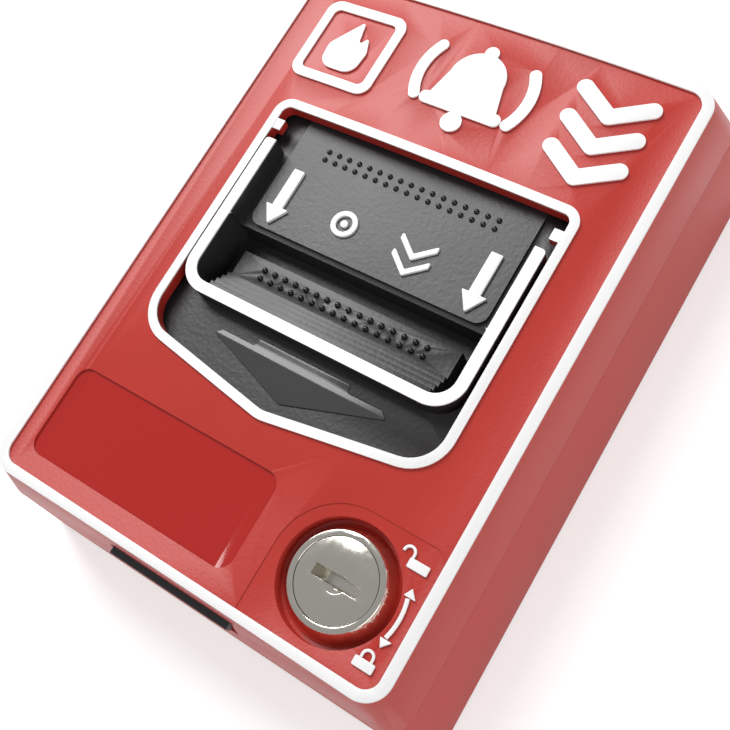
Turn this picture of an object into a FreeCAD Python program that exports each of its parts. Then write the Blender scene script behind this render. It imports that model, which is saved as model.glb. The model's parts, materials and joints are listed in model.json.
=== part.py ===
import FreeCAD, Part
import math
import os

from FreeCAD import Vector

# Wall-mounted fire alarm call point with a push-in, pull-down handle and a hinged, locked front door.
# Frame: X to the right, Y into the wall, Z up.  The origin is the centre of the back face on the wall.

# ---- driving dimensions, millimetres ----
body_width = 104.6
body_height = 139.7
body_depth = 36.5
shell_flare = 2.8
door_flare = 3.2
door_depth = 12.4
parting_gap = 0.2
crown_rise = 1.35
wall = 2.4
back_plate = 2.5
body_corner = 6.0
front_corner = 5.3

rim_height = 0.6
rim_width = 2.1
window_half_width = 33.3
window_top = 29.4
window_side_bottom = -17.9
window_tip = -28.8
window_slope = 0.164
window_rim = 1.9
label_recess = (-40.4, -57.8, 10.6, -38.2)
label_depth = 0.5
chevron_stroke = 3.3
lock_step_radius = 13.4
lock_step_depth = 0.18

pull_travel = 8.0
push_travel = 2.5
handle_overlap = 1.7
handle_face = 3.5
handle_skin = 2.0
grip_half_width = 32.4
grip_width = 2.35
grip_bottom = -14.6
grip_top = 21.1
grip_corner = 6.5
grip_proud = 1.3
panel_half_width = 27.8
panel_rise = 0.8
panel_bottom = 4.1
recess_top = 3.0
recess_ledge = -1.2
recess_depth = 10.0
dot_ledge_depth = 5.5
dot_ledge_bottom = -7.1
dot_ledge_half_width = 26.0
tail_half_width = 14.25
tail_proud = 1.1
tail_thickness = 2.0

post_radius = 2.0
post_fit = 0.1
carriage_thickness = 2.0
carriage_gap = 0.7
clip_thickness = 0.8
slide_clearance = 0.3
web_thickness = 2.0
screw_radius = 1.3
pilot_radius = 1.3

lock_in_from_side = 17.05
lock_up_from_bottom = 15.05
lock_pocket_radius = 11.4
lock_pocket_depth = 2.8
lock_head_radius = 10.75
lock_nose_radius = 8.85
lock_barrel_radius = 9.5
lock_plug_radius = 6.5
lock_face_radius = 7.65
cam_reach = 13.7
cam_half_width = 6.5
cam_thickness = 2.0
keeper_bite = 3.0
keeper_thickness = 1.5

hinge_radius = 2.0
hinge_pin_radius = 0.8
hinge_spacing = 84.0
knuckle_length = 6.0
knuckle_gap = 0.25
cable_hole_half_width = 21.0
cable_hole_half_height = 33.0
box_screw_radius = 2.2
gang_spacing = 83.3
gang_pitch = 46.0

# ---- places worked out from the dimensions ----
half_back_width = body_width / 2
half_back_height = body_height / 2
half_parting_width = half_back_width - shell_flare
half_parting_height = half_back_height - shell_flare
half_front_width = half_parting_width - door_flare
half_front_height = half_parting_height - door_flare
crown_y = -body_depth
front_y = crown_y + crown_rise
door_rear_y = front_y + door_depth
shell_front_y = door_rear_y + parting_gap
crown_half = half_front_width - rim_width
crown_radius = (crown_half ** 2 + crown_rise ** 2) / (2 * crown_rise)
face_skin_y = crown_y + rim_height + wall

handle_y = front_y + handle_face
handle_rear_y = handle_y + handle_skin
carriage_y = front_y + recess_depth + handle_skin + push_travel + carriage_gap
carriage_rear_y = carriage_y + carriage_thickness
web_y = carriage_rear_y + clip_thickness + push_travel + 1.6
web_rear_y = web_y + web_thickness
handle_half_width = window_half_width + handle_overlap
handle_top = window_top + pull_travel + 2.6

lock_x = half_front_width - lock_in_from_side
lock_z = -half_front_height + lock_up_from_bottom
lock_floor_y = front_y + lock_pocket_depth
lock_floor_rear_y = lock_floor_y + wall

rail_inner = handle_half_width - 1.6
rail_outer = rail_inner + 6.4
rail_top = handle_top + 7.0
rail_bottom = -37.5
rail_front_y = carriage_y - 4.0
frame_boss_x = rail_outer - 3.2
frame_boss_top = handle_top + 4.5
frame_boss_bottom = -34.5
upper_post = (24.0, 34.0)
lower_post = (20.0, -19.0)
hinge_x = -half_parting_width - 0.4
hinge_y = door_rear_y + parting_gap / 2


def save(name, shape):
    solids = shape.Solids
    result = solids[0] if len(solids) == 1 else Part.makeCompound(solids)
    result.exportStep("parts/%s.step" % name)


def join(shapes):
    first = shapes[0]
    return first.fuse(shapes[1:]).removeSplitter() if len(shapes) > 1 else first


def block(x0, x1, y0, y1, z0, z1):
    return Part.makeBox(x1 - x0, y1 - y0, z1 - z0, Vector(x0, y0, z0))


def rod_y(radius, y0, y1, x, z):
    return Part.makeCylinder(radius, y1 - y0, Vector(x, y0, z), Vector(0, 1, 0))


def rod_z(radius, z0, z1, x, y):
    return Part.makeCylinder(radius, z1 - z0, Vector(x, y, z0))


def cone_y(radius0, radius1, y0, y1, x, z):
    return Part.makeCone(radius0, radius1, y1 - y0, Vector(x, y0, z), Vector(0, 1, 0))


def outline(corners, y):
    """Closed wire in the plane Y = y through (x, z, radius) corners, each rounded by its own arc."""
    count = len(corners)
    starts = []
    ends = []
    middles = []
    for index, (x, z, radius) in enumerate(corners):
        here = Vector(x, y, z)
        before = Vector(corners[index - 1][0], y, corners[index - 1][1])
        after = Vector(corners[(index + 1) % count][0], y, corners[(index + 1) % count][1])
        to_before = (before - here).normalize()
        to_after = (after - here).normalize()
        half_angle = to_before.getAngle(to_after) / 2
        reach = radius / math.tan(half_angle)
        bisector = (to_before + to_after).normalize()
        centre = here + bisector * (radius / math.sin(half_angle))
        starts.append(here + to_before * reach)
        ends.append(here + to_after * reach)
        middles.append(centre - bisector * radius)
    edges = []
    for index in range(count):
        if corners[index][2] > 0:
            edges.append(Part.Arc(starts[index], middles[index], ends[index]).toShape())
        following = starts[(index + 1) % count]
        if (following - ends[index]).Length > 1e-6:
            edges.append(Part.LineSegment(ends[index], following).toShape())
    return Part.Wire(edges)


def rectangle(half_width, half_height, radius, x=0.0, z=0.0):
    return [
        (x - half_width, z - half_height, radius),
        (x + half_width, z - half_height, radius),
        (x + half_width, z + half_height, radius),
        (x - half_width, z + half_height, radius),
    ]


def prism(corners, y0, y1):
    return Part.Face(outline(corners, y0)).extrude(Vector(0, y1 - y0, 0))


def frustum(front, front_y_at, rear, rear_y_at):
    """Tapered box with rounded corners between two rectangles given as (half width, half height, radius)."""
    wires = [outline(rectangle(*front), front_y_at), outline(rectangle(*rear), rear_y_at)]
    return Part.makeLoft(wires, True, True)


def crown(depth):
    """Large upright cylinder whose front line lies this far behind the crest of the crowned face."""
    height = 2 * body_height
    base = Vector(0, crown_y + crown_radius, -height / 2)
    return Part.makeCylinder(crown_radius - depth, height, base)


def window(grow):
    """Outline of the handle window, grown outwards all round."""
    half = window_half_width + grow
    side_corner = 7.0 + grow
    tip = window_tip - 0.5 - grow * 1.014
    bottom = tip + window_slope * half
    return [
        (-half, window_top + grow, 1.8 + grow),
        (-half, bottom, side_corner),
        (0.0, tip, 6.0 + grow),
        (half, bottom, side_corner),
        (half, window_top + grow, 1.8 + grow),
    ]


def screw(x, z, head_y, length, direction, head_radius=2.4, shank=screw_radius, head=1.6):
    """Pan-head screw along Y with a cross slot in its head; direction +1 drives it towards +Y."""
    y0 = head_y
    y_head = head_y + direction * head
    y_tip = y_head + direction * length
    body = join([
        rod_y(head_radius, min(y0, y_head), max(y0, y_head), x, z),
        rod_y(shank, min(y_head, y_tip), max(y_head, y_tip), x, z),
    ])
    slot_y = head_y + direction * 0.8
    low, high = min(head_y, slot_y), max(head_y, slot_y)
    long_half, short_half = head_radius * 0.62, 0.3
    body = body.cut(block(x - long_half, x + long_half, low, high, z - short_half, z + short_half))
    return body.cut(block(x - short_half, x + short_half, low, high, z - long_half, z + long_half))


# ---- back shell ----
def make_shell():
    outer = frustum((half_parting_width, half_parting_height, body_corner), shell_front_y,
                    (half_back_width, half_back_height, body_corner), 0.0)
    flare_rate = shell_flare / -shell_front_y
    inner_grow = shell_flare - back_plate * flare_rate
    inner = frustum(
        (half_parting_width - wall, half_parting_height - wall, body_corner - wall), shell_front_y,
        (half_parting_width - wall + inner_grow, half_parting_height - wall + inner_grow,
         body_corner - wall), -back_plate)
    shell = outer.cut(inner)
    shell = shell.cut(prism(rectangle(cable_hole_half_width, cable_hole_half_height, 4.0),
                            -back_plate - 1, 1))
    for x in (-gang_pitch / 2, 0.0, gang_pitch / 2):
        for z in (-gang_spacing / 2, gang_spacing / 2):
            shell = shell.cut(rod_y(box_screw_radius, -back_plate - 1, 1, x, z))
    boss = block(lock_x - 9.0, lock_x + 9.0, keeper_front_y, -back_plate,
                 -half_parting_height - 0.4, keeper_seat_z)
    shell = shell.fuse(boss)
    for x in keeper_screw_x:
        shell = shell.cut(rod_z(pilot_radius, keeper_seat_z - keeper_screw_length,
                                keeper_seat_z + 1, x, keeper_screw_y))
    ribs = [block(-half_parting_width + wall * 0.5, -half_parting_width + wall + 2.0,
                  shell_front_y, shell_front_y + 6.0, z - hinge_half, z + hinge_half)
            for z in hinge_z]
    shell = shell.fuse(ribs)
    for z in hinge_z:
        for side in (-1, 1):
            middle = z + side * (knuckle_length + knuckle_gap)
            shell = shell.fuse(rod_z(hinge_radius, middle - knuckle_length / 2,
                                     middle + knuckle_length / 2, hinge_x, hinge_y))
        relief = knuckle_length / 2 + knuckle_gap
        shell = shell.cut(rod_z(hinge_radius + 0.3, z - relief, z + relief, hinge_x, hinge_y))
        shell = shell.cut(rod_z(hinge_pin_radius, z - hinge_half - 1, z + hinge_half + 1, hinge_x, hinge_y))
    return shell.removeSplitter()


# ---- door ----
def door_blank(inset, y_rear, crown_depth):
    """Tapered, crowned blank of the door, inset all round and cut back behind the crest."""
    y_far = crown_y - 2.0
    slope = door_flare / door_depth
    extra = slope * (front_y - y_far)
    reach = slope * (y_rear - front_y)
    corner = front_corner - inset * 0.8
    blank = frustum(
        (half_front_width - extra - inset, half_front_height - extra - inset, corner), y_far,
        (half_front_width + reach - inset, half_front_height + reach - inset, corner), y_rear)
    return blank.common(crown(crown_depth))


def bar(x0, z0, x1, z1, width, y0, y1):
    """Straight stroke with round ends between two points."""
    along = Vector(x1 - x0, 0, z1 - z0).normalize()
    across = Vector(-along.z, 0, along.x) * (width / 2)
    ends = [Vector(x0, 0, z0), Vector(x1, 0, z1)]
    corners = [(p.x, p.z, 0.0) for p in (ends[0] - across, ends[1] - across, ends[1] + across, ends[0] + across)]
    caps = [rod_y(width / 2, y0, y1, end.x, end.z) for end in ends]
    return join([prism(corners, y0, y1)] + caps)


def sound_wave(x, z, radius, width, way, y0, y1):
    """Curved stroke with round ends, bowed to the left (way -1) or to the right (way 1)."""
    span = math.radians(30)
    ring = rod_y(radius + width / 2, y0, y1, x, z).cut(rod_y(radius - width / 2, y0 - 1, y1 + 1, x, z))
    far = 3 * radius
    wedge = prism([
        (x, z, 0.0),
        (x + way * far * math.cos(span), z - far * math.sin(span), 0.0),
        (x + way * far * math.cos(span), z + far * math.sin(span), 0.0),
    ], y0, y1)
    caps = [rod_y(width / 2, y0, y1, x + way * radius * math.cos(span), z + side * radius * math.sin(span))
            for side in (-1, 1)]
    return join([ring.common(wedge)] + caps)


def raised_marks(y0, y1):
    """Plain raised marks above the window: a framed flame, a ringing bell and three chevrons."""
    x = -28.0
    ring = prism(rectangle(10.0, 9.8, 3.0, x, mark_z), y0, y1)
    marks = [ring.cut(prism(rectangle(7.9, 7.7, 1.4, x, mark_z), y0 - 1, y1 + 1))]
    marks.append(prism([
        (x + 0.6, mark_z + 6.6, 0.4), (x - 4.6, mark_z - 0.6, 2.6), (x - 4.2, mark_z - 6.0, 3.0),
        (x + 4.2, mark_z - 6.0, 3.0), (x + 4.8, mark_z - 0.4, 1.6), (x + 3.4, mark_z + 3.2, 0.4),
        (x + 1.9, mark_z + 0.8, 0.5),
    ], y0, y1))
    x = 2.0
    marks.append(rod_y(6.0, y0, y1, x, mark_z + 2.2))
    marks.append(prism([
        (x - 8.0, mark_z - 5.4, 0.3), (x + 8.0, mark_z - 5.4, 0.3), (x + 6.0, mark_z + 2.2, 0.0),
        (x - 6.0, mark_z + 2.2, 0.0),
    ], y0, y1))
    marks.append(bar(x - 7.8, mark_z - 5.0, x + 7.8, mark_z - 5.0, 2.8, y0, y1))
    marks.append(rod_y(2.2, y0, y1, x, mark_z - 8.4))
    marks.append(rod_y(1.5, y0, y1, x, mark_z + 8.6))
    marks.append(sound_wave(x, mark_z + 1.0, 12.2, 2.4, -1, y0, y1))
    marks.append(sound_wave(x, mark_z + 1.0, 12.2, 2.4, 1, y0, y1))
    for level in (8.4, 1.4, -5.6):
        low = mark_z + level - 4.4
        marks.append(bar(22.6, mark_z + level, 29.6, low, chevron_stroke, y0, y1))
        marks.append(bar(36.6, mark_z + level, 29.6, low, chevron_stroke, y0, y1))
    return marks


def make_door():
    door = door_blank(0.0, door_rear_y, 0.0)
    y_far = crown_y - 2.0
    field = prism(rectangle(half_front_width - rim_width, half_front_height - rim_width,
                            front_corner - rim_width), y_far, front_y + 1)
    field = field.cut(prism(window(window_rim), y_far, front_y + 1))
    relief = field.cut(raised_marks(y_far, front_y + 1)).cut(crown(rim_height))
    door = door.cut(relief)
    x0, z0, x1, z1 = label_recess
    label = prism(rectangle((x1 - x0) / 2, (z1 - z0) / 2, 3.0, (x0 + x1) / 2, (z0 + z1) / 2),
                  y_far, front_y + 2)
    door = door.cut(label.cut(crown(rim_height + label_depth)))
    door = door.cut(door_blank(wall, door_rear_y, rim_height + wall))
    step = prism([
        (lock_x - lock_step_radius - 0.3, -half_front_height + rim_width, 0.5),
        (half_front_width - rim_width, -half_front_height + rim_width, front_corner - rim_width - 0.2),
        (half_front_width - rim_width, lock_z + lock_step_radius, 3.0),
        (lock_x - lock_step_radius - 0.3, lock_z + lock_step_radius, lock_step_radius - 0.4),
    ], y_far, front_y + 1)
    door = door.cut(step.cut(crown(rim_height + lock_step_depth)))
    pocket_wall = rod_y(lock_pocket_radius + 1.6, front_y + 0.5, lock_floor_rear_y, lock_x, lock_z)
    door = door.fuse(pocket_wall)
    door = door.cut(rod_y(lock_pocket_radius, y_far, lock_floor_y, lock_x, lock_z))
    door = door.cut(barrel_section(lock_floor_y - 1, lock_floor_rear_y + 1, 0.1))
    bosses = [rod_y(3.0, face_skin_y - 0.6, rail_front_y, x, z) for x, z in frame_bosses]
    door = door.fuse(bosses)
    for x, z in frame_bosses:
        door = door.cut(rod_y(pilot_radius, rail_front_y - 6.0, rail_front_y + 1, x, z))
    door = door.cut(prism(window(0.0), y_far, door_rear_y))
    tab = 2.0
    for side in (-1, 1):
        x_wall = side * (window_half_width + 0.6)
        x_tip = side * (window_half_width - tab)
        door = door.fuse(block(min(x_wall, x_tip), max(x_wall, x_tip), crown_y + 0.9, face_skin_y,
                               23.7, 26.1))
    door = door.cut(block(-tail_half_width - 0.5, tail_half_width + 0.5,
                          tail_y - 0.8, tail_y + tail_thickness + push_travel + 0.8,
                          -half_parting_height - 2, -half_front_height + wall + 3))
    for z in hinge_z:
        door = door.fuse(block(-half_parting_width + wall * 0.5 + 0.6, -half_parting_width + wall + 2.0,
                               door_rear_y - 6.0, door_rear_y, z - hinge_half, z + hinge_half))
        door = door.fuse(rod_z(hinge_radius, z - knuckle_length / 2, z + knuckle_length / 2,
                               hinge_x, hinge_y))
        for side in (-1, 1):
            middle = z + side * (knuckle_length + knuckle_gap)
            relief = knuckle_length / 2 + knuckle_gap
            door = door.cut(rod_z(hinge_radius + 0.3, middle - relief, middle + relief, hinge_x, hinge_y))
        door = door.cut(rod_z(hinge_pin_radius + 0.05, z - hinge_half - 1, z + hinge_half + 1,
                              hinge_x, hinge_y))
    return door.removeSplitter()


def barrel_section(y0, y1, grow):
    """Round section with two flats that keeps the lock barrel from turning in the door."""
    flat = lock_barrel_radius - 1.5 + grow
    full = rod_y(lock_barrel_radius + grow, y0, y1, lock_x, lock_z)
    return full.common(block(lock_x - flat, lock_x + flat, y0, y1, lock_z - 20, lock_z + 20))


# ---- handle ----
def make_handle():
    tip = window_tip - 0.5 - handle_overlap * 1.014
    side_bottom = tip + window_slope * handle_half_width
    plate = prism([
        (-handle_half_width, handle_top, 2.0),
        (-handle_half_width, side_bottom, 7.0 + handle_overlap),
        (0.0, tip, 6.0),
        (handle_half_width, side_bottom, 7.0 + handle_overlap),
        (handle_half_width, handle_top, 2.0),
    ], handle_y, handle_rear_y)
    tail = block(-tail_half_width, tail_half_width, tail_y, tail_y + tail_thickness,
                 tail_tip, tip + 6.0)
    grip_y = front_y - grip_proud
    pocket_rear = front_y + recess_depth + handle_skin
    inner = grip_half_width - grip_width
    grip = prism([
        (-grip_half_width, grip_top, 0.8),
        (-grip_half_width, grip_bottom, grip_corner),
        (grip_half_width, grip_bottom, grip_corner),
        (grip_half_width, grip_top, 0.8),
    ], grip_y, handle_rear_y)
    pocket_shell = prism([
        (-grip_half_width, recess_top + handle_skin, 0.8),
        (-grip_half_width, grip_bottom, grip_corner),
        (grip_half_width, grip_bottom, grip_corner),
        (grip_half_width, recess_top + handle_skin, 0.8),
    ], handle_rear_y - 0.5, pocket_rear)
    body = join([plate, tail, grip, pocket_shell])
    above = block(-inner, inner, grip_y - 1, handle_y, recess_top, grip_top + 5)
    finger = prism([
        (-inner, recess_top, 0.5),
        (-inner, grip_bottom + grip_width, grip_corner - grip_width),
        (inner, grip_bottom + grip_width, grip_corner - grip_width),
        (inner, recess_top, 0.5),
    ], grip_y - 1, front_y + recess_depth)
    body = body.cut([above, finger])
    ledge_y = front_y + dot_ledge_depth
    ledge = block(-dot_ledge_half_width, dot_ledge_half_width, ledge_y, pocket_rear - 0.5,
                  dot_ledge_bottom, recess_ledge)
    lower = grip_bottom + grip_width
    steps = []
    count = 4
    for index in range(count):
        z_top = dot_ledge_bottom + (lower - dot_ledge_bottom) * index / count
        depth = dot_ledge_depth * (1 - (index + 1) / (count + 0.6))
        steps.append(block(-dot_ledge_half_width, dot_ledge_half_width, front_y + depth,
                           pocket_rear - 0.5, lower - 0.5, z_top))
    panel = prism([
        (-panel_half_width, handle_top - 1.0, 1.0),
        (-panel_half_width, panel_bottom, 2.5),
        (panel_half_width, panel_bottom, 2.5),
        (panel_half_width, handle_top - 1.0, 1.0),
    ], handle_y - panel_rise, handle_y + 0.5)
    body = body.fuse([ledge, panel] + steps)
    posts = [rod_y(post_radius, handle_rear_y - 0.5, post_tip_y, x, z) for x, z in post_places]
    body = body.fuse(posts)
    dots = []
    for column in range(16):
        x = -19.5 + 2.6 * column
        for row in range(2):
            z = -3.3 - 1.9 * row
            dots.append(rod_y(0.5, ledge_y - 0.4, ledge_y + 0.2, x, z))
    body = body.fuse(dots)
    for x, z in post_places:
        groove = rod_y(post_radius + 0.5, clip_y, clip_y + clip_thickness, x, z)
        body = body.cut(groove.cut(rod_y(post_radius - 0.5, clip_y, clip_y + clip_thickness, x, z)))
    return body.removeSplitter()


def make_clips():
    clips = []
    for x, z in post_places:
        disc = rod_y(post_radius + 1.6, clip_y, clip_y + clip_thickness, x, z)
        hole = rod_y(post_radius - 0.5, clip_y, clip_y + clip_thickness, x, z)
        mouth = block(x - post_radius + 0.7, x + post_radius - 0.7, clip_y, clip_y + clip_thickness,
                      z - post_radius - 2, z)
        clips.append(disc.cut(hole).cut(mouth))
    return clips


def coil(radius, wire, length, turns, start, axis):
    """Compression spring of round wire standing on start and running along axis."""
    pitch = (length - wire) / turns
    helix = Part.makeLongHelix(pitch, length - wire, radius)
    section = Part.Wire(Part.makeCircle(wire / 2, Vector(radius, 0, 0), Vector(0, 1, pitch / 6.28 / radius)))
    spring = Part.Wire(helix.Edges).makePipeShell([section], True, True)
    spring.translate(Vector(0, 0, wire / 2))
    if axis == "y":
        spring.rotate(Vector(0, 0, 0), Vector(1, 0, 0), -90)
    spring.translate(start)
    return spring


# ---- slide carriage ----
def make_carriage():
    half = rail_inner + 1.7
    plate = prism(rectangle(half, (handle_top - 2 + 22.0) / 2, 1.5, 0.0, (handle_top - 2 - 22.0) / 2),
                  carriage_y, carriage_rear_y)
    window_cut = prism(rectangle(13.0, 13.0, 3.0, 0.0, 14.0), carriage_y - 1, carriage_rear_y + 1)
    plate = plate.cut(window_cut)
    for x, z in post_places:
        plate = plate.cut(rod_y(post_radius + post_fit, carriage_y - 1, carriage_rear_y + 1, x, z))
    finger_foot = block(finger_x, finger_x + 3.0, carriage_rear_y - 0.5, switch_y1, finger_z, finger_z + 13.0)
    wedge_run = pull_travel + 4.0
    rise = math.tan(math.radians(wedge_angle)) * wedge_run
    wedge = Part.Face(Part.makePolygon([
        Vector(finger_x, web_rear_y + 0.6, finger_z),
        Vector(finger_x, web_rear_y + 0.6, finger_z + wedge_run),
        Vector(finger_x - rise, web_rear_y + 0.6, finger_z + wedge_run),
        Vector(finger_x, web_rear_y + 0.6, finger_z),
    ])).extrude(Vector(0, switch_y1 - web_rear_y - 0.6, 0))
    detent_hook = block(-2.5, 2.5, carriage_rear_y - 0.5, carriage_rear_y + 1.6, -14.0, -11.0)
    return join([plate, finger_foot, wedge, detent_hook])


# ---- mechanism frame ----
def make_frame():
    parts = []
    for side in (-1, 1):
        low, high = sorted((side * rail_inner, side * rail_outer))
        rail = block(low, high, rail_front_y, web_rear_y, rail_bottom, rail_top)
        low, high = sorted((side * (rail_inner - 1), side * (rail_inner + 1.7 + slide_clearance)))
        groove = block(low, high, carriage_y - slide_clearance, carriage_rear_y + slide_clearance,
                       rail_bottom + 5.5, rail_top - 5.5)
        parts.append(rail.cut(groove))
    web = block(-rail_outer, rail_outer, web_y, web_rear_y, rail_bottom, rail_top)
    finger_slot = block(finger_x - 4.5, finger_x + 3.6, web_y - 1, web_rear_y + 1,
                        finger_z - pull_travel - 1.0, finger_z + 14.0)
    web = web.cut(finger_slot)
    bars = []
    for z0, z1 in ((rail_bottom, rail_bottom + 5.0), (rail_top - 5.0, rail_top)):
        bars.append(block(-rail_inner - 0.5, rail_inner + 0.5, carriage_y - 1.0, web_y + 0.2, z0, z1))
    frame = join(parts + [web] + bars)
    for x, z in frame_bosses:
        frame = frame.cut(rod_y(screw_radius + 0.2, rail_front_y - 1, web_rear_y + 1, x, z))
        frame = frame.cut(rod_y(2.7, web_y, web_rear_y + 1, x, z))
    for x, z in switch_holes:
        frame = frame.cut(rod_y(1.0, web_y - 0.1, web_rear_y + 1, x, z))
    for x, z in block_holes:
        frame = frame.cut(rod_y(pilot_radius, web_y - 0.1, web_rear_y + 1, x, z))
    frame = frame.cut(rod_y(1.0, web_y - 1, web_rear_y + 1, detent_screw[0], detent_screw[1]))
    return frame.removeSplitter()


# ---- values that tie the inner pieces together ----
hinge_half = 1.5 * knuckle_length + knuckle_gap
hinge_z = (-hinge_spacing / 2, hinge_spacing / 2)
frame_bosses = [(-frame_boss_x, frame_boss_top), (frame_boss_x, frame_boss_top),
                (-frame_boss_x, frame_boss_bottom), (frame_boss_x, frame_boss_bottom)]
post_places = [(side * post[0], post[1]) for post in (upper_post, lower_post) for side in (-1, 1)]
clip_y = carriage_rear_y
post_tip_y = clip_y + clip_thickness + 1.2
tail_y = handle_y + 0.5
tail_tip = -half_front_height - tail_proud - 1.2

barrel_rear_y = lock_floor_rear_y + 14.0
cam_y = barrel_rear_y + 0.3
cam_rear_y = cam_y + cam_thickness
keeper_seat_z = lock_z - cam_reach - 0.6 - keeper_thickness
keeper_screw_y = cam_rear_y + 3.4
keeper_screw_length = 2.8
keeper_front_y = cam_y - 0.6 - keeper_thickness
keeper_screw_x = (lock_x - 4.7, lock_x + 4.7)

switch_length = 20.0
switch_height = 10.2
switch_thickness = 6.4
switch_x = 8.0
switch_z = -4.0
switch_y0 = web_rear_y
switch_y1 = web_rear_y + switch_thickness
button_z = switch_z + 2.8
switch_holes = [(switch_x + 2.6, switch_z - 4.75), (switch_x + 2.6, switch_z + 4.75)]
lever_pivot = (switch_x + switch_height + 1.0, switch_z - 8.2)
lever_length = 20.0
lever_angle = 4.0
lever_tip_z = lever_pivot[1] + lever_length
lever_x = switch_x + switch_height + 1.6
bump_radius = 1.2
finger_z = lever_tip_z - 1.5
wedge_angle = math.degrees(math.atan(lever_length * math.radians(lever_angle) / pull_travel))
finger_x = lever_x + 0.5 + bump_radius + 0.3 + 1.5 * math.tan(math.radians(wedge_angle))

block_half_width = 16.0
block_z0 = 20.0
block_z1 = 32.0
block_y1 = web_rear_y + 6.5
block_holes = [(-block_half_width + 2.6, (block_z0 + block_z1) / 2),
               (block_half_width - 2.6, (block_z0 + block_z1) / 2)]
terminal_x = [-8.4, -2.8, 2.8, 8.4]
detent_screw = (0.0, -28.0)
mark_z = (window_top + window_rim + half_front_height - rim_width) / 2 + 0.3
wire_y = web_rear_y + switch_thickness / 2
wire_radius = 0.65
blade_tip_x = switch_x - 4.5
blade_z = (switch_z - 6.0, switch_z, switch_z + 6.0)
nose_y = crown_y + 0.1


def make_keeper():
    leg = block(lock_x - 8.5, lock_x + 8.5, keeper_front_y, keeper_screw_y + 3.0,
                keeper_seat_z, keeper_seat_z + keeper_thickness)
    lug = block(lock_x - 8.5, lock_x + 8.5, keeper_front_y, keeper_front_y + keeper_thickness,
                keeper_seat_z, lock_z - cam_reach + keeper_bite)
    keeper = leg.fuse(lug).removeSplitter()
    for x in keeper_screw_x:
        keeper = keeper.cut(rod_z(screw_radius + 0.2, keeper_seat_z - 1, keeper_seat_z + 3, x, keeper_screw_y))
    return keeper


def make_keeper_screws():
    screws = []
    for x in keeper_screw_x:
        one = screw(0.0, 0.0, 0.0, keeper_thickness + keeper_screw_length - 0.4, 1, 2.2, pilot_radius)
        one.rotate(Vector(0, 0, 0), Vector(1, 0, 0), -90)
        one.translate(Vector(x, keeper_screw_y, keeper_seat_z + keeper_thickness + 1.6))
        screws.append(one)
    return screws


def make_hinge_pins():
    return [rod_z(hinge_pin_radius, z - hinge_half + 0.1, z + hinge_half - 0.1, hinge_x, hinge_y)
            for z in hinge_z]


# ---- lock ----
def make_barrel():
    head = cone_y(lock_nose_radius, lock_head_radius, nose_y, lock_floor_y, lock_x, lock_z)
    barrel = head.fuse(barrel_section(lock_floor_y, barrel_rear_y, 0.0))
    barrel = barrel.cut(rod_y(lock_plug_radius + 0.05, nose_y - 1, barrel_rear_y + 1, lock_x, lock_z))
    return barrel.cut(rod_y(lock_face_radius + 0.1, nose_y - 1, nose_y + 1.4, lock_x, lock_z))


def make_lock_washer():
    ring = rod_y(12.2, lock_floor_rear_y, lock_floor_rear_y + 1.0, lock_x, lock_z)
    return ring.cut(rod_y(lock_barrel_radius + 0.15, lock_floor_rear_y - 1, lock_floor_rear_y + 2,
                          lock_x, lock_z))


def make_lock_nut():
    y0 = lock_floor_rear_y + 1.0
    corner_radius = 11.0 / math.cos(math.radians(30))
    corners = []
    for index in range(6):
        angle = math.radians(60 * index + 30)
        corners.append((lock_x + corner_radius * math.cos(angle), lock_z + corner_radius * math.sin(angle), 0.0))
    nut = prism(corners, y0, y0 + 3.5)
    return nut.cut(rod_y(lock_barrel_radius, y0 - 1, y0 + 5, lock_x, lock_z))


def make_plug():
    face = rod_y(lock_face_radius, nose_y + 0.15, nose_y + 1.3, lock_x, lock_z)
    core = rod_y(lock_plug_radius, nose_y + 1.3, cam_y, lock_x, lock_z)
    stub = block(lock_x - 3.5, lock_x + 3.5, cam_y, cam_y + cam_thickness - 0.2, lock_z - 3.5, lock_z + 3.5)
    plug = join([face, core, stub])
    plug = plug.cut(block(lock_x - 4.75, lock_x + 4.75, nose_y - 1, nose_y + 9.0, lock_z - 1.05, lock_z + 1.05))
    plug = plug.cut(cone_y(2.6, 1.0, nose_y - 0.05, nose_y + 1.1, lock_x, lock_z))
    return plug.cut(rod_y(1.5, cam_rear_y - 7.0, cam_rear_y + 1, lock_x, lock_z))


def make_cam():
    cam = prism([
        (lock_x - 7.0, lock_z - cam_half_width, 4.0),
        (lock_x + cam_reach, lock_z - cam_half_width + 1.5, 2.0),
        (lock_x + cam_reach, lock_z + cam_half_width - 1.5, 2.0),
        (lock_x - 7.0, lock_z + cam_half_width, 4.0),
    ], cam_y, cam_rear_y)
    hole = 3.55
    return cam.cut(block(lock_x - hole, lock_x + hole, cam_y - 1, cam_rear_y + 1, lock_z - hole, lock_z + hole))


# ---- snap switch ----
def make_switch_body():
    body = block(switch_x, switch_x + switch_height, switch_y0, switch_y1,
                 switch_z - switch_length / 2, switch_z + switch_length / 2)
    pivot_x, pivot_z = lever_pivot
    ears = block(switch_x + switch_height - 0.5, pivot_x + 1.3, switch_y0 + 0.3, switch_y1 - 0.3,
                 pivot_z - 1.6, pivot_z + 1.3)
    slot = block(pivot_x - 1.25, pivot_x + 2, lever_y0 - 0.15, lever_y1 + 0.15, pivot_z - 2, pivot_z + 2)
    body = body.fuse(ears).cut(slot)
    body = body.cut(rod_y(0.5, switch_y0, switch_y1, pivot_x, pivot_z))
    for x, z in switch_holes:
        body = body.cut(rod_y(1.1, switch_y0 - 1, switch_y1 + 1, x, z))
    well = block(switch_x + switch_height - 3.0, switch_x + switch_height + 1,
                 wire_y - 1.05, wire_y + 1.05, button_z - 1.05, button_z + 1.05)
    body = body.cut(well)
    for z in blade_z:
        body = body.cut(block(switch_x - 1, switch_x + 2.0, wire_y - 1.5, wire_y + 1.5, z - 0.25, z + 0.25))
    return body


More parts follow.
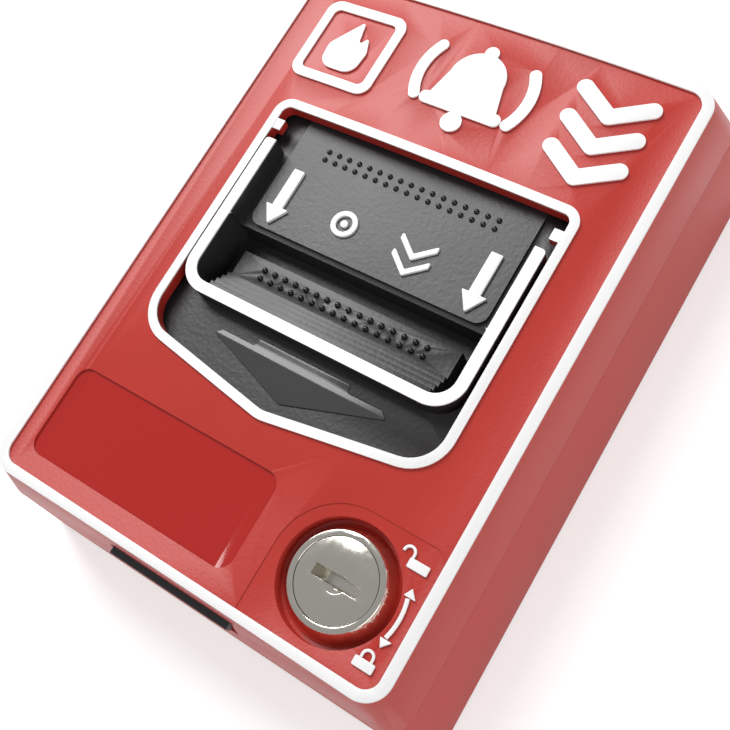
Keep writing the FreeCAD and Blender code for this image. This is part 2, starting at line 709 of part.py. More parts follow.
def make_switch_button():
    return block(switch_x + switch_height - 2.0, switch_x + switch_height + 1.2,
                 wire_y - 1.0, wire_y + 1.0, button_z - 1.0, button_z + 1.0)


def make_switch_lever():
    pivot_x, pivot_z = lever_pivot
    arm = block(lever_x, lever_x + 0.5, lever_y0, lever_y1, pivot_z + 0.6, lever_tip_z)
    eye = Part.makeCylinder(1.1, lever_y1 - lever_y0, Vector(pivot_x, lever_y0, pivot_z), Vector(0, 1, 0))
    bump = Part.makeCylinder(bump_radius, lever_y1 - lever_y0,
                             Vector(lever_x + 0.5, lever_y0, lever_tip_z - bump_radius), Vector(0, 1, 0))
    neck = block(pivot_x, lever_x + 0.5, lever_y0, lever_y1, pivot_z, pivot_z + 1.4)
    bump = bump.common(block(lever_x, lever_x + 5, lever_y0, lever_y1, lever_tip_z - 5, lever_tip_z + 5))
    lever = join([arm, eye, neck, bump])
    return lever.cut(rod_y(0.55, lever_y0 - 1, lever_y1 + 1, pivot_x, pivot_z))


def make_switch_blades():
    return [block(blade_tip_x, switch_x + 2.0, wire_y - 1.5, wire_y + 1.5, z - 0.25, z + 0.25)
            for z in blade_z]


def make_switch_screws():
    return [screw(x, z, switch_y1 + 0.9, switch_thickness + 1.8, -1, 1.9, 1.0, 0.9) for x, z in switch_holes]


# ---- terminal block and leads ----
def make_terminal_block():
    body = block(-block_half_width, block_half_width, web_rear_y, block_y1, block_z0, block_z1)
    for x in terminal_x:
        body = body.cut(block(x - 1.9, x + 1.9, wire_y - 2.0, wire_y + 2.0, block_z0 - 1, block_z1 + 1))
        body = body.cut(rod_y(1.7, wire_y, block_y1 + 1, x, (block_z0 + block_z1) / 2))
    for x, z in block_holes:
        body = body.cut(rod_y(1.5, web_rear_y - 1, block_y1 + 1, x, z))
    return body


def make_terminal_clamps():
    clamps = []
    for x in terminal_x:
        cage = block(x - 1.8, x + 1.8, wire_y - 1.9, wire_y + 1.9, block_z0 + 3.0, block_z1 - 3.0)
        clamps.append(cage.cut(block(x - 1.1, x + 1.1, wire_y - 1.2, wire_y + 0.9, block_z0, block_z1)))
    return clamps


def make_terminal_screws():
    z = (block_z0 + block_z1) / 2
    return [screw(x, z, block_y1 - 0.2, block_y1 - 0.2 - 1.0 - wire_y - 1.9, -1, 1.6, 1.0, 1.0)
            for x in terminal_x]


def make_block_screws():
    return [screw(x, z, block_y1 + 1.2, block_y1 - web_rear_y + 1.9, -1, 2.2, pilot_radius, 1.2)
            for x, z in block_holes]


def lead(blade_height, terminal):
    """Insulated lead from a switch blade, turning up into its terminal, in the plane Y = wire_y."""
    start = Vector(blade_tip_x, wire_y, blade_height)
    corner = Vector(terminal, wire_y, blade_height)
    end = Vector(terminal, wire_y, block_z0 + 6.0)
    radius = 0.45 * (blade_tip_x - terminal)
    first = corner + Vector(radius, 0, 0)
    last = corner + Vector(0, 0, radius)
    middle = corner + Vector(radius, 0, radius) * (1 - math.sqrt(0.5))
    path = Part.Wire([
        Part.LineSegment(start, first).toShape(),
        Part.Arc(first, middle, last).toShape(),
        Part.LineSegment(last, end).toShape(),
    ])
    section = Part.Wire(Part.makeCircle(wire_radius, start, Vector(1, 0, 0)))
    return path.makePipeShell([section], True, False)


def make_detent_spring():
    profile = [(0.0, -31.0), (0.0, -25.0), (-2.4, -19.0), (-1.2, -16.4)]
    thickness = 0.4
    points = [Vector(-3.0, web_y + y, z) for y, z in profile]
    points += [Vector(-3.0, web_y + y - thickness, z) for y, z in reversed(profile)]
    strip = Part.Face(Part.makePolygon(points + [points[0]])).extrude(Vector(6.0, 0, 0))
    return strip.cut(rod_y(1.1, web_y - 2, web_y + 1, detent_screw[0], detent_screw[1]))


lever_y0 = switch_y0 + 1.4
lever_y1 = switch_y1 - 1.4

os.makedirs("parts", exist_ok=True)
save("back_shell", make_shell())
save("hinge_pins", Part.makeCompound(make_hinge_pins()))
save("lock_keeper", make_keeper())
save("keeper_screws", Part.makeCompound(make_keeper_screws()))
save("door_cover", make_door())
save("mechanism_frame", make_frame())
save("frame_screws", Part.makeCompound([
    screw(x, z, web_y + 1.6, web_y - rail_front_y + 5.0, -1, 2.5, pilot_radius) for x, z in frame_bosses]))
save("lock_barrel", make_barrel())
save("lock_washer", make_lock_washer())
save("lock_nut", make_lock_nut())
save("lock_plug", make_plug())
save("lock_cam", make_cam())
save("cam_screw", screw(lock_x, lock_z, cam_rear_y + 1.6, 6.5, -1, 5.0, 1.5))
save("slide_carriage", make_carriage())
save("pull_handle", make_handle())
save("post_clips", Part.makeCompound(make_clips()))
spring_length = carriage_y - handle_rear_y
save("push_springs", Part.makeCompound([
    coil(2.9, 0.6, spring_length, 5, Vector(x, handle_rear_y, z), "y") for x, z in post_places]))
save("switch_body", make_switch_body())
save("switch_button", make_switch_button())
save("switch_lever", make_switch_lever())
save("switch_blades", Part.makeCompound(make_switch_blades()))
save("switch_screws", Part.makeCompound(make_switch_screws()))
save("lever_pin", rod_y(0.5, switch_y0 + 0.3, switch_y1 - 0.3, lever_pivot[0], lever_pivot[1]))
save("terminal_block", make_terminal_block())
save("terminal_clamps", Part.makeCompound(make_terminal_clamps()))
save("terminal_screws", Part.makeCompound(make_terminal_screws()))
save("block_screws", Part.makeCompound(make_block_screws()))
save("lead_common", lead(blade_z[1], terminal_x[0]))
save("lead_open", lead(blade_z[2], terminal_x[1]))
save("detent_spring", make_detent_spring())
save("detent_screw", screw(detent_screw[0], detent_screw[1], web_y - 1.7, web_thickness + 0.3, 1, 2.2, 1.0, 1.3))
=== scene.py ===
import json
import math

import bpy
from mathutils import Matrix, Vector

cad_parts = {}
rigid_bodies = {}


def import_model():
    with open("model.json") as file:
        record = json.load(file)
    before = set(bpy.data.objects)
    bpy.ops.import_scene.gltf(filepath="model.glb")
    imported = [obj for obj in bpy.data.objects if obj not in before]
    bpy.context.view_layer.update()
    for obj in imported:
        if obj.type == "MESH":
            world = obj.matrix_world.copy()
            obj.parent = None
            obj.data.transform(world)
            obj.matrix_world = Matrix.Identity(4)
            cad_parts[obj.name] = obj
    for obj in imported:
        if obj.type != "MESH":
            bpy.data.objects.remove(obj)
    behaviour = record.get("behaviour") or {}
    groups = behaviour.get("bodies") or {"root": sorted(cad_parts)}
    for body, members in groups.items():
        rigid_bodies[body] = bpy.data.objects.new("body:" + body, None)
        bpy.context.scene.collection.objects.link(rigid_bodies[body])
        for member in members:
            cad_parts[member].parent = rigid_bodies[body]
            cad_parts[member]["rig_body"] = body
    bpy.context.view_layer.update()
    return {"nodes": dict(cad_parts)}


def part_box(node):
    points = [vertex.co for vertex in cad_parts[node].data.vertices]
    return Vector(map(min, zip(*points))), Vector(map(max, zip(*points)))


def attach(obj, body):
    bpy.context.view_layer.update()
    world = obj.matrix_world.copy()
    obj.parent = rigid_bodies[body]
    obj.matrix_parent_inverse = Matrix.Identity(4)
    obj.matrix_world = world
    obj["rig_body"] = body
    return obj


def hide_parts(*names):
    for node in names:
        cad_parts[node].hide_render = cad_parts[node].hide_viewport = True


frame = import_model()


# ---- moulded red shells ----
# The door and the back shell are injection-moulded red polycarbonate with a fine spark-eroded grain.
# The rims and marks of the door stand 0.6 mm proud and are tampon-printed white on their tops.
MM = 0.001
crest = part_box("door_cover")[0].y
crown_half = 44.2 * MM
crown_rise = 1.35 * MM


def grain_group():
    """Moulded grain: a height for the bump and a slow mottling of the colour and the gloss."""
    group = bpy.data.node_groups.new("moulded_grain", "ShaderNodeTree")
    group.interface.new_socket(name="Grain", in_out="INPUT", socket_type="NodeSocketFloat")
    group.interface.new_socket(name="Height", in_out="OUTPUT", socket_type="NodeSocketFloat")
    group.interface.new_socket(name="Mottle", in_out="OUTPUT", socket_type="NodeSocketFloat")
    nodes, links = group.nodes, group.links
    inside = nodes.new("NodeGroupInput")
    outside = nodes.new("NodeGroupOutput")
    coords = nodes.new("ShaderNodeTexCoord")
    fine = nodes.new("ShaderNodeTexNoise")
    fine.inputs["Detail"].default_value = 2.0
    fine.inputs["Roughness"].default_value = 0.55
    slow = nodes.new("ShaderNodeTexNoise")
    slow.inputs["Scale"].default_value = 55.0
    slow.inputs["Detail"].default_value = 4.0
    links.new(coords.outputs["Object"], fine.inputs["Vector"])
    links.new(coords.outputs["Object"], slow.inputs["Vector"])
    links.new(inside.outputs["Grain"], fine.inputs["Scale"])
    links.new(fine.outputs["Fac"], outside.inputs["Height"])
    links.new(slow.outputs["Fac"], outside.inputs["Mottle"])
    return group


grain = grain_group()


def plastic(name, colour, roughness, grain_scale=1500.0, grain_depth=0.035, mottle=0.10):
    """Moulded plastic: grain in the normal, faint mottling in colour and roughness."""
    material = bpy.data.materials.new(name)
    material.use_nodes = True
    nodes, links = material.node_tree.nodes, material.node_tree.links
    shader = nodes["Principled BSDF"]
    texture = nodes.new("ShaderNodeGroup")
    texture.node_tree = grain
    texture.name = "grain"
    texture.inputs["Grain"].default_value = grain_scale
    tone = nodes.new("ShaderNodeMix")
    tone.name = "tone"
    tone.data_type = "RGBA"
    tone.inputs["A"].default_value = (*[c * (1 - mottle) for c in colour], 1)
    tone.inputs["B"].default_value = (*[min(1, c * (1 + mottle)) for c in colour], 1)
    links.new(texture.outputs["Mottle"], tone.inputs["Factor"])
    links.new(tone.outputs["Result"], shader.inputs["Base Color"])
    gloss = nodes.new("ShaderNodeMapRange")
    gloss.name = "gloss"
    gloss.inputs["To Min"].default_value = roughness - 0.05
    gloss.inputs["To Max"].default_value = roughness + 0.05
    links.new(texture.outputs["Mottle"], gloss.inputs["Value"])
    links.new(gloss.outputs["Result"], shader.inputs["Roughness"])
    bump = nodes.new("ShaderNodeBump")
    bump.name = "bump"
    bump.inputs["Strength"].default_value = 1.0
    bump.inputs["Distance"].default_value = grain_depth * MM
    links.new(texture.outputs["Height"], bump.inputs["Height"])
    links.new(bump.outputs["Normal"], shader.inputs["Normal"])
    return material


def math_node(nodes, links, operation, a, b):
    """Result of a calculation on two inputs, each a number or a socket."""
    node = nodes.new("ShaderNodeMath")
    node.operation = operation
    for index, value in enumerate((a, b)):
        if isinstance(value, (int, float)):
            node.inputs[index].default_value = value
        else:
            links.new(value, node.inputs[index])
    return node.outputs[0]


def soft_step(nodes, links, value, low, high):
    """0 below low, 1 above high and a straight ramp between."""
    node = nodes.new("ShaderNodeMapRange")
    node.inputs["From Min"].default_value = low
    node.inputs["From Max"].default_value = high
    links.new(value, node.inputs["Value"])
    return node.outputs["Result"]


def printed(material, depth, low, high, paint, paint_roughness):
    """Lays white print on all that lies above a height, given as a socket that holds the depth."""
    nodes, links = material.node_tree.nodes, material.node_tree.links
    shader = nodes["Principled BSDF"]
    below = soft_step(nodes, links, depth, low, high)
    colour = nodes.new("ShaderNodeMix")
    colour.data_type = "RGBA"
    colour.inputs["A"].default_value = (*paint, 1)
    links.new(nodes["tone"].outputs["Result"], colour.inputs["B"])
    links.new(below, colour.inputs["Factor"])
    links.new(colour.outputs["Result"], shader.inputs["Base Color"])
    rough = nodes.new("ShaderNodeMix")
    rough.inputs["A"].default_value = paint_roughness
    links.new(nodes["gloss"].outputs["Result"], rough.inputs["B"])
    links.new(below, rough.inputs["Factor"])
    links.new(rough.outputs["Result"], shader.inputs["Roughness"])


WHITE = (0.88, 0.87, 0.87)
RED = (0.47, 0.028, 0.018)
LABEL = [v * MM for v in (-40.4, -57.8, 10.6, -38.2)]
POLISHED_RED = (0.40, 0.016, 0.012)
POLISHED_ROUGHNESS = 0.09


def door_finish():
    """Grained red with white print on all that stands proud, and a polished label field."""
    material = plastic("red_door", RED, 0.42)
    nodes, links = material.node_tree.nodes, material.node_tree.links
    coords = nodes.new("ShaderNodeTexCoord")
    split = nodes.new("ShaderNodeSeparateXYZ")
    links.new(coords.outputs["Object"], split.inputs[0])
    x, y, z = split.outputs
    square = math_node(nodes, links, "MULTIPLY", x, x)
    sag = math_node(nodes, links, "MULTIPLY", square, crown_rise / crown_half ** 2)
    depth = math_node(nodes, links, "SUBTRACT", math_node(nodes, links, "SUBTRACT", y, crest), sag)
    printed(material, depth, 0.34 * MM, 0.42 * MM, WHITE, 0.32)
    # The label field is a polished patch sunk half a millimetre into the grain.
    within = []
    for place, low, high in ((x, LABEL[0], LABEL[2]), (z, LABEL[1], LABEL[3])):
        offset = math_node(nodes, links, "SUBTRACT", place, (low + high) / 2)
        distance = math_node(nodes, links, "ABSOLUTE", offset, 0)
        within.append(math_node(nodes, links, "LESS_THAN", distance, (high - low) / 2))
    inside = math_node(nodes, links, "MULTIPLY", *within)
    polished = math_node(nodes, links, "MULTIPLY", inside,
                         soft_step(nodes, links, depth, 0.8 * MM, 1.0 * MM))
    shader = nodes["Principled BSDF"]
    old_rough = shader.inputs["Roughness"].links[0].from_socket
    rough = nodes.new("ShaderNodeMix")
    links.new(old_rough, rough.inputs["A"])
    rough.inputs["B"].default_value = POLISHED_ROUGHNESS
    links.new(polished, rough.inputs["Factor"])
    links.new(rough.outputs["Result"], shader.inputs["Roughness"])
    height = nodes.new("ShaderNodeMix")
    links.new(nodes["grain"].outputs["Height"], height.inputs["A"])
    height.inputs["B"].default_value = 0.5
    links.new(polished, height.inputs["Factor"])
    links.new(height.outputs["Result"], nodes["bump"].inputs["Height"])
    old_colour = shader.inputs["Base Color"].links[0].from_socket
    colour = nodes.new("ShaderNodeMix")
    colour.data_type = "RGBA"
    links.new(old_colour, colour.inputs["A"])
    colour.inputs["B"].default_value = (*POLISHED_RED, 1)
    links.new(polished, colour.inputs["Factor"])
    links.new(colour.outputs["Result"], shader.inputs["Base Color"])
    return material


def softened(node, name, width, angle=32.0, segments=2):
    """Copy of a piece with its doubles merged, its flats dissolved and its edges rounded."""
    bpy.ops.object.select_all(action="DESELECT")
    piece = bpy.data.objects.new(name, frame["nodes"][node].data.copy())
    bpy.context.scene.collection.objects.link(piece)
    piece.select_set(True)
    bpy.context.view_layer.objects.active = piece
    bpy.ops.object.mode_set(mode="EDIT")
    bpy.ops.mesh.select_all(action="SELECT")
    bpy.ops.mesh.remove_doubles(threshold=0.002 * MM)
    bpy.ops.mesh.dissolve_limited(angle_limit=math.radians(0.4))
    bpy.ops.object.mode_set(mode="OBJECT")
    bevel = piece.modifiers.new("edges", "BEVEL")
    bevel.width = width * MM
    bevel.segments = segments
    bevel.limit_method = "ANGLE"
    bevel.angle_limit = math.radians(angle)
    bevel.use_clamp_overlap = True
    bpy.ops.object.modifier_apply(modifier="edges")
    bpy.ops.object.shade_smooth_by_angle(angle=math.radians(28))
    body = frame["nodes"][node]["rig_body"]
    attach(piece, body)
    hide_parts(node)
    piece.data.materials.clear()
    return piece


door = softened("door_cover", "door_moulding", 0.18)
door.data.materials.append(door_finish())

shell = softened("back_shell", "shell_moulding", 0.25)
shell.data.materials.append(plastic("red_shell_finish", RED, 0.46))


# ---- push and pull handle ----
# One black polycarbonate moulding: dark grain all over, the front of its U-shaped edge printed white.
# Rounded dots on its ledge and panel can be felt, and two printed arrows show the pull.

def handle_finish():
    """Dark grained black with white print on the front of the U-shaped edge."""
    material = plastic("black_handle_finish", (0.022, 0.021, 0.023), 0.40, 1100.0, 0.05, 0.15)
    nodes, links = material.node_tree.nodes, material.node_tree.links
    coords = nodes.new("ShaderNodeTexCoord")
    split = nodes.new("ShaderNodeSeparateXYZ")
    links.new(coords.outputs["Object"], split.inputs[0])
    edge_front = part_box("pull_handle")[0].y
    printed(material, split.outputs["Y"], edge_front + 0.35 * MM, edge_front + 0.45 * MM, WHITE, 0.35)
    return material


handle = softened("pull_handle", "handle_moulding", 0.22)
handle.data.materials.append(handle_finish())
handle_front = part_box("pull_handle")[0].y
grip_proud, panel_lift, handle_face = 1.3 * MM, 0.8 * MM, 3.5 * MM
front_plane = handle_front + grip_proud
panel_y = front_plane + handle_face - panel_lift

print_white = plastic("white_print", WHITE, 0.34, 1500.0, 0.008, 0.02)


def corner_points(corners, steps=6):
    """Outline points of a closed shape whose (x, z, radius) corners are rounded by arcs, in metres."""
    points = []
    count = len(corners)
    for index, (x, z, radius) in enumerate(corners):
        here = Vector((x, z))
        before = Vector(corners[index - 1][:2])
        after = Vector(corners[(index + 1) % count][:2])
        one, two = (before - here).normalized(), (after - here).normalized()
        half = one.angle(two) / 2
        centre = here + (one + two).normalized() * (radius / math.sin(half))
        first, last = here + one * radius / math.tan(half), here + two * radius / math.tan(half)
        turn = (first - centre).angle_signed(last - centre)
        for step in range(steps + 1):
            spoke = (first - centre).copy()
            spoke.rotate(Matrix.Rotation(-turn * step / steps, 2))
            points.append((centre + spoke) * MM)
    return points


def raised(name, outlines, y_base, height, material, body, crowned=False):
    """Flat raised mark with rounded top edges, filled between its outlines; holes are inner outlines."""
    curve = bpy.data.curves.new(name, "CURVE")
    curve.dimensions = "2D"
    curve.fill_mode = "BOTH"
    edge = 0.16 * MM
    curve.extrude = max(height - 2 * edge, 0.05 * MM) / 2
    curve.bevel_depth = edge
    curve.bevel_resolution = 2
    curve.offset = -edge
    for outline in outlines:
        spline = curve.splines.new("POLY")
        spline.points.add(len(outline) - 1)
        for point, place in zip(spline.points, outline):
            point.co = (place[0], place[1], 0, 1)
        spline.use_cyclic_u = True
    source = bpy.data.objects.new(name + "_curve", curve)
    bpy.context.scene.collection.objects.link(source)
    bpy.context.view_layer.update()
    mesh = bpy.data.meshes.new_from_object(source)
    bpy.data.objects.remove(source)
    mesh.transform(Matrix.Rotation(math.radians(90), 4, "X"))
    mesh.transform(Matrix.Translation((0, y_base - height / 2, 0)))
    if crowned:
        for vertex in mesh.vertices:
            vertex.co.y += crown_rise * (vertex.co.x / crown_half) ** 2
    piece = bpy.data.objects.new(name, mesh)
    bpy.context.scene.collection.objects.link(piece)
    bpy.ops.object.select_all(action="DESELECT")
    piece.select_set(True)
    bpy.context.view_layer.objects.active = piece
    bpy.ops.object.mode_set(mode="EDIT")
    bpy.ops.mesh.select_all(action="SELECT")
    bpy.ops.mesh.remove_doubles(threshold=0.002 * MM)
    bpy.ops.mesh.normals_make_consistent(inside=False)
    bpy.ops.object.mode_set(mode="OBJECT")
    bpy.ops.object.shade_smooth_by_angle(angle=math.radians(35))
    piece.data.materials.append(material)
    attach(piece, body)
    return piece


def arrow(x, top, tip, shaft, head, head_height):
    """Corners of an arrow that points down, from half the widths of its shaft and its head."""
    return [(x - shaft, top, 0.2), (x - shaft, tip + head_height, 0.05), (x - head, tip + head_height, 0.2),
            (x, tip, 0.3), (x + head, tip + head_height, 0.2), (x + shaft, tip + head_height, 0.05),
            (x + shaft, top, 0.2)]


def rectangle(x, z, half_width, half_height, radius):
    """Corners of an upright rectangle about (x, z), all rounded alike."""
    return [(x - half_width, z - half_height, radius), (x + half_width, z - half_height, radius),
            (x + half_width, z + half_height, radius), (x - half_width, z + half_height, radius)]


mark_seat = panel_y + 0.1 * MM
arrow_height = 0.8 * MM
mark_height = 0.7 * MM
for side, x in (("left", -23.3), ("right", 23.3)):
    raised("pull_arrow_" + side, [corner_points(arrow(x, 18.2, 5.0, 1.3, 2.8, 4.2))],
           mark_seat, arrow_height, print_white, "handle")

# Between the arrows are plain marks: a ring with a dot for the push, and two chevrons for the pull.
ring_x, ring_z = -8.0, 11.5
rings = [corner_points(rectangle(ring_x, ring_z, half, half, radius))
         for half, radius in ((2.9, 2.9), (1.75, 1.75), (0.8, 0.79))]
raised("press_mark", rings, mark_seat, mark_height, print_white, "handle")
chevron_x, chevron_half, chevron_drop, chevron_stroke = 8.4, 4.2, 3.4, 1.5
for number, top in enumerate((15.0, 11.4)):
    left, right, low = chevron_x - chevron_half, chevron_x + chevron_half, top - chevron_drop
    chevron = [(left, top, 0.3), (chevron_x, low, 0.3), (right, top, 0.3),
               (right, top - chevron_stroke, 0.3), (chevron_x, low - chevron_stroke, 0.3),
               (left, top - chevron_stroke, 0.3)]
    raised("pull_chevron_%d" % number, [corner_points(chevron)], mark_seat, mark_height,
           print_white, "handle")

dot_black = plastic("dot_black", (0.012, 0.012, 0.013), 0.16, 1500.0, 0.004, 0.05)


def dots(name, places, y_base, radius):
    """Rows of rounded dots that stand out of the moulding."""
    bpy.ops.object.select_all(action="DESELECT")
    made = []
    for x, z in places:
        bpy.ops.mesh.primitive_uv_sphere_add(segments=14, ring_count=8, radius=radius * MM,
                                             location=(x * MM, y_base, z * MM))
        made.append(bpy.context.object)
    for piece in made:
        piece.select_set(True)
    bpy.context.view_layer.objects.active = made[0]
    bpy.ops.object.join()
    piece = bpy.context.object
    piece.name = name
    bpy.ops.object.transform_apply(location=True, rotation=True, scale=True)
    bpy.ops.object.shade_smooth()
    piece.data.materials.append(dot_black)
    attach(piece, "handle")
    return piece


dots("panel_dots", [(-20.0 + 2.5 * i, z) for i in range(17) for z in (24.6, 22.7)], panel_y, 0.58)
ledge_y = front_plane + 5.5 * MM
dots("ledge_dots", [(-19.5 + 2.6 * i, -3.3 - 1.9 * j) for i in range(16) for j in (0, 1)],
     ledge_y - 0.15 * MM, 0.62)

# The big arrow below the edge is a smooth island in the grain, outlined by a fine step.
island = [(-11.0, -16.6, 0.6), (-11.0, -18.3, 0.6), (-19.0, -18.3, 0.5), (-20.6, -19.6, 0.4), (0, -26.4, 1.6),
          (20.6, -19.6, 0.4), (19.0, -18.3, 0.5), (11.0, -18.3, 0.6), (11.0, -16.6, 0.6)]
arrow_smooth = plastic("smooth_black", (0.05, 0.05, 0.052), 0.22, 1500.0, 0.003, 0.05)
raised("travel_arrow", [corner_points(island)], front_plane + handle_face + 0.1 * MM, 0.35 * MM,
       arrow_smooth, "handle")


# ---- lock ----
# Nickel-plated brass cam lock: a conical head and a plug with a straight keyway that turns a steel cam.
# Head and plug are turned and plated, and a nut clamps the barrel to the floor of the door's pocket.

def metal(name, colour, roughness, brush=0.05):
    """Bare or plated metal: a slow change of tone and a fine grain in the gloss."""
    material = bpy.data.materials.new(name)
    material.use_nodes = True
    nodes, links = material.node_tree.nodes, material.node_tree.links
    shader = nodes["Principled BSDF"]
    shader.inputs["Metallic"].default_value = 1.0
    texture = nodes.new("ShaderNodeGroup")
    texture.node_tree = grain
    texture.inputs["Grain"].default_value = 900.0
    tone = nodes.new("ShaderNodeMix")
    tone.data_type = "RGBA"
    tone.inputs["A"].default_value = (*[c * 0.9 for c in colour], 1)
    tone.inputs["B"].default_value = (*colour, 1)
    links.new(texture.outputs["Mottle"], tone.inputs["Factor"])
    links.new(tone.outputs["Result"], shader.inputs["Base Color"])
    gloss = nodes.new("ShaderNodeMapRange")
    gloss.inputs["To Min"].default_value = max(0.02, roughness - brush)
    gloss.inputs["To Max"].default_value = roughness + brush
    links.new(texture.outputs["Height"], gloss.inputs["Value"])
    links.new(gloss.outputs["Result"], shader.inputs["Roughness"])
    return material


nickel = metal("nickel_plate", (0.80, 0.77, 0.69), 0.13)
steel = metal("zinc_plate", (0.62, 0.62, 0.60), 0.32, 0.08)
spring_wire = metal("spring_steel_finish", (0.45, 0.45, 0.46), 0.28)
brass = metal("terminal_brass", (0.78, 0.58, 0.26), 0.30)
for node, name in (("lock_barrel", "lock_head"), ("lock_plug", "lock_plug_turned")):
    piece = softened(node, name, 0.16, 30.0, 3)
    piece.data.materials.append(nickel)


# ---- door marks ----
# White pictograms beside the lock: an open and a closed padlock, and a curved arrow between them.
# They follow the crown of the door, and their tops lie a quarter of a millimetre above its field.

def door_mark(name, outline):
    raised(name, [outline], crest + 0.65 * MM, 0.25 * MM, print_white, "door", True)


def arc(x, z, radius, first, last, steps):
    """Points of an arc about (x, z) from one angle to another, in metres."""
    points = []
    for step in range(steps + 1):
        angle = first + (last - first) * step / steps
        points.append(((x + radius * math.cos(angle)) * MM, (z + radius * math.sin(angle)) * MM))
    return points


def padlock(name, x, z, opened):
    """Case and shackle; an open shackle is swung to the left, with one end free of the case."""
    outer, inner = 1.3, 0.75
    bow_x = x - 2.6 if opened else x
    bow_z = z + 1.5
    free_end = bow_z - (0.2 if opened else 0.6)
    held_end = z + 0.85
    door_mark(name + "_case", corner_points(rectangle(x, z, 2.0, 0.9, 0.3)))
    points = arc(bow_x, bow_z, outer, 0, math.pi, 16)
    points += [((bow_x - reach) * MM, free_end * MM) for reach in (outer, inner)]
    points += reversed(arc(bow_x, bow_z, inner, 0, math.pi, 16))
    points += [((bow_x + reach) * MM, held_end * MM) for reach in (inner, outer)]
    door_mark(name + "_shackle", points)


padlock("mark_open", 40.3, -39.8, True)
padlock("mark_closed", 40.3, -58.2, False)
turn_x, turn_z = 29.2, -48.9
half_sweep = math.radians(17)
bow = arc(turn_x, turn_z, 13.1, -half_sweep, half_sweep, 12)
bow += reversed(arc(turn_x, turn_z, 12.3, -half_sweep, half_sweep, 12))
door_mark("turn_bow", bow)
for name, z, way in (("up", -45.0, 1), ("down", -52.8, -1)):
    head = [(40.4, z, 0.1), (42.8, z, 0.1), (41.3, z + way * 1.7, 0.1)]
    door_mark("turn_head_" + name, corner_points(head))


# ---- works inside the case ----
# Frame, switch and block are plain mouldings; the carriage, keeper, cam and screws are plated steel.
# Brass blades and clamps carry the circuit, and two insulated leads join the switch to the block.
inner_black = plastic("inner_black", (0.03, 0.03, 0.032), 0.5, 1200.0, 0.03)
block_green = plastic("terminal_green", (0.05, 0.24, 0.11), 0.4, 1200.0, 0.02)
finishes = {
    inner_black: ["mechanism_frame", "switch_body"],
    block_green: ["terminal_block"],
    plastic("button_red", (0.5, 0.04, 0.03), 0.3, 1200.0, 0.01): ["switch_button"],
    plastic("lead_black_finish", (0.02, 0.02, 0.02), 0.3, 900.0, 0.01): ["lead_common"],
    plastic("lead_red_finish", (0.5, 0.03, 0.02), 0.3, 900.0, 0.01): ["lead_open"],
    steel: ["hinge_pins", "lock_keeper", "keeper_screws", "frame_screws", "lock_washer", "lock_cam",
            "cam_screw", "slide_carriage", "switch_screws", "lever_pin", "terminal_screws", "block_screws",
            "detent_screw"],
    nickel: ["lock_nut"],
    spring_wire: ["post_clips", "push_springs", "switch_lever", "detent_spring"],
    brass: ["switch_blades", "terminal_clamps"],
}
for finish, names in finishes.items():
    for name in names:
        frame["nodes"][name].data.materials.clear()
        frame["nodes"][name].data.materials.append(finish)


# ---- table, light and camera ----
# The station lies on its back on a pale table, so the table stands just behind the wall face.
# The table glows a little to the camera and in reflections, and lets views from behind through.
bpy.ops.object.select_all(action="DESELECT")
bpy.ops.mesh.primitive_plane_add(size=3.0, location=(0, 0.6 * MM, 0), rotation=(math.radians(90), 0, 0))
table = bpy.context.object
table.name = "table"
bpy.ops.object.transform_apply(location=True, rotation=True, scale=True)
paper = bpy.data.materials.new("pale_table")
paper.use_nodes = True
nodes, links = paper.node_tree.nodes, paper.node_tree.links
diffuse = nodes["Principled BSDF"]
diffuse.inputs["Base Color"].default_value = (0.86, 0.86, 0.86, 1)
diffuse.inputs["Roughness"].default_value = 0.9
rays = nodes.new("ShaderNodeLightPath")
seen = math_node(nodes, links, "MAXIMUM", rays.outputs["Is Camera Ray"], rays.outputs["Is Glossy Ray"])
glow = math_node(nodes, links, "MULTIPLY", seen, 0.45)
diffuse.inputs["Emission Color"].default_value = (1, 1, 1, 1)
links.new(glow, diffuse.inputs["Emission Strength"])
clear = nodes.new("ShaderNodeBsdfTransparent")
geometry = nodes.new("ShaderNodeNewGeometry")
either = nodes.new("ShaderNodeMixShader")
links.new(geometry.outputs["Backfacing"], either.inputs["Fac"])
links.new(diffuse.outputs["BSDF"], either.inputs[1])
links.new(clear.outputs["BSDF"], either.inputs[2])
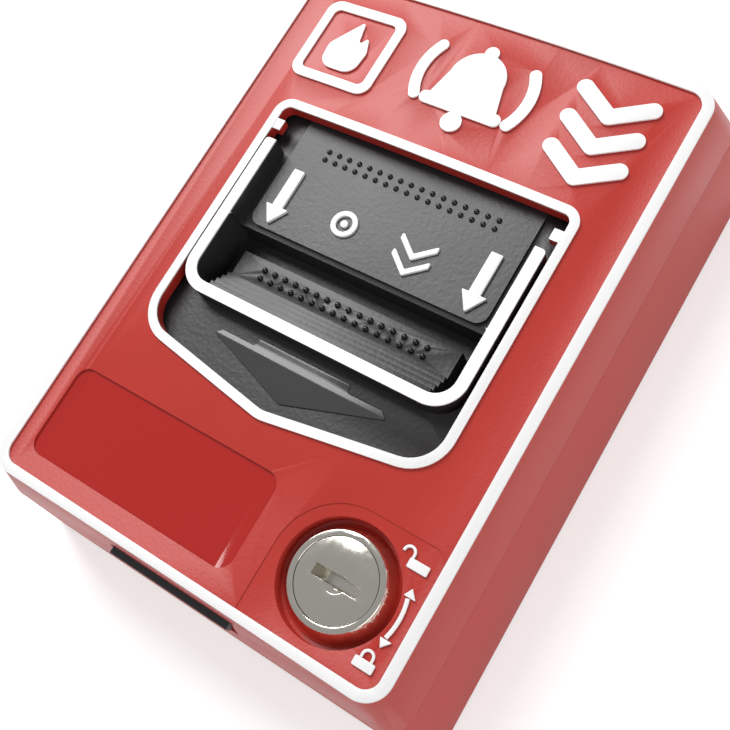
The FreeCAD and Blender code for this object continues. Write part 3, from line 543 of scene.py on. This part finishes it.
links.new(either.outputs["Shader"], nodes["Material Output"].inputs["Surface"])
table.data.materials.append(paper)

world = bpy.data.worlds.new("studio")
bpy.context.scene.world = world
world.use_nodes = True
nodes, links = world.node_tree.nodes, world.node_tree.links
nodes.clear()
rays = nodes.new("ShaderNodeLightPath")
seen = math_node(nodes, links, "MAXIMUM", rays.outputs["Is Camera Ray"],
                 rays.outputs["Is Transmission Ray"])
strength = nodes.new("ShaderNodeMix")
strength.inputs["A"].default_value = 0.38
strength.inputs["B"].default_value = 1.0
links.new(seen, strength.inputs["Factor"])
sky = nodes.new("ShaderNodeBackground")
links.new(strength.outputs["Result"], sky.inputs["Strength"])
sky.inputs["Color"].default_value = (1, 1, 1, 1)
output = nodes.new("ShaderNodeOutputWorld")
links.new(sky.outputs["Background"], output.inputs["Surface"])


def softbox(name, place, size, power):
    """Rectangular lamp that faces the middle of the wall face."""
    lamp = bpy.data.lights.new(name, "AREA")
    lamp.shape = "RECTANGLE"
    lamp.size, lamp.size_y = size
    lamp.energy = power
    holder = bpy.data.objects.new(name, lamp)
    bpy.context.scene.collection.objects.link(holder)
    holder.location = place
    holder.rotation_mode = "QUATERNION"
    holder.rotation_quaternion = (-Vector(place)).to_track_quat("-Z", "Y")


softbox("key", (-0.42, -0.62, 0.34), (0.55, 0.40), 6.5)
softbox("fill", (0.60, -0.35, -0.25), (0.5, 0.5), 1.5)

camera_data = bpy.data.cameras.new("camera")
camera_data.lens = 50.24
camera_data.sensor_width = 36.0
camera_data.clip_start = 0.01
camera = bpy.data.objects.new("camera", camera_data)
bpy.context.scene.collection.objects.link(camera)
camera.location = (0.0869, -0.2044, -0.0470)
aim = Vector((0.0127, -0.0352, -0.0127))
facing = (aim - camera.location).to_track_quat("-Z", "Y")
roll = Matrix.Rotation(math.radians(31.07), 4, "Z").to_quaternion()
camera.rotation_mode = "QUATERNION"
camera.rotation_quaternion = facing @ roll
bpy.context.scene.camera = camera
bpy.context.scene.view_settings.view_transform = "Standard"
